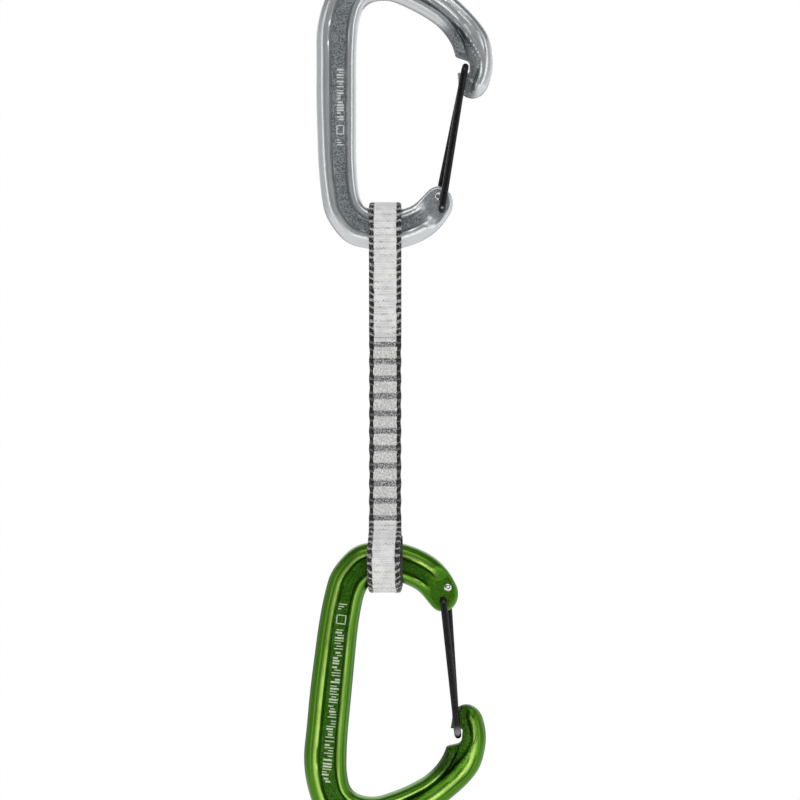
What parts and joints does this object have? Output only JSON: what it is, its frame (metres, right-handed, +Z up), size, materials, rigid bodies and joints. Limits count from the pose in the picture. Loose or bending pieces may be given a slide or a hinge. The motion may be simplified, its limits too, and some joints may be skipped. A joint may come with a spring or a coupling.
{
  "type": "climbing quickdraw",
  "caption": "Climbing quickdraw: two wire-gate carabiners with I-beam forged bodies, joined by a short sewn webbing sling with a rubber keeper.",
  "frame": {"origin": "bearing point of the upper carabiner's basket, where the bolt hanger carries the draw", "axes": "+Z up along the load line, +X from the carabiners' spines to their gates, +Y through their thickness"},
  "size_m": [0.0583, 0.0194, 0.2708],
  "materials": {
    "silver_anodised": "satin clear anodised forging with tumbled grain",
    "green_anodised": "satin green anodised forging with tumbled grain",
    "black_wire": "black coated spring wire, semi gloss",
    "peened_steel": "bare peened wire end",
    "webbing": "white woven tape with black and white selvedges",
    "tack_thread": "dense zigzag stitching",
    "keeper_rubber": "smooth black rubber"
  },
  "bodies": {
    "upper_carabiner": {"upper_carabiner_body": "silver_anodised", "upper_gate_hinge_end_a": "peened_steel", "upper_gate_hinge_end_b": "peened_steel"},
    "upper_gate": {"upper_gate_wire": "black_wire"},
    "sling": {"sling_webbing": "webbing", "rubber_keeper": "keeper_rubber", "bartack_01": "tack_thread", "bartack_02": "tack_thread", "bartack_03": "tack_thread", "bartack_04": "tack_thread", "bartack_05": "tack_thread", "bartack_06": "tack_thread", "bartack_07": "tack_thread", "bartack_08": "tack_thread", "bartack_09": "tack_thread", "bartack_10": "tack_thread"},
    "lower_carabiner": {"lower_carabiner_body": "green_anodised", "lower_gate_hinge_end_a": "peened_steel", "lower_gate_hinge_end_b": "peened_steel"},
    "lower_gate": {"lower_gate_wire": "black_wire"}
  },
  "joints": [
    {"name": "upper_gate_hinge", "type": "hinge", "parent": "upper_carabiner", "child": "upper_gate", "pos_m": [0.017, 0, -0.06367], "axis": [0, -1, 0], "range_deg": [0, 40], "stiffness_Nm_per_rad": 0.25, "springref_deg": -20.05},
    {"name": "sling_swing", "type": "hinge", "parent": "upper_carabiner", "child": "sling", "pos_m": [0, 0, -0.07192], "axis": [1, 0, 0], "range_deg": [-120, 120]},
    {"name": "lower_carabiner_swing", "type": "hinge", "parent": "sling", "child": "lower_carabiner", "pos_m": [0, 0, -0.17402], "axis": [1, 0, 0], "range_deg": [-90, 90]},
    {"name": "lower_gate_hinge", "type": "hinge", "parent": "lower_carabiner", "child": "lower_gate", "pos_m": [0.01849, 0, -0.184], "axis": [0, 1, 0], "range_deg": [0, 40], "stiffness_Nm_per_rad": 0.25, "springref_deg": -20.05}
  ]
}
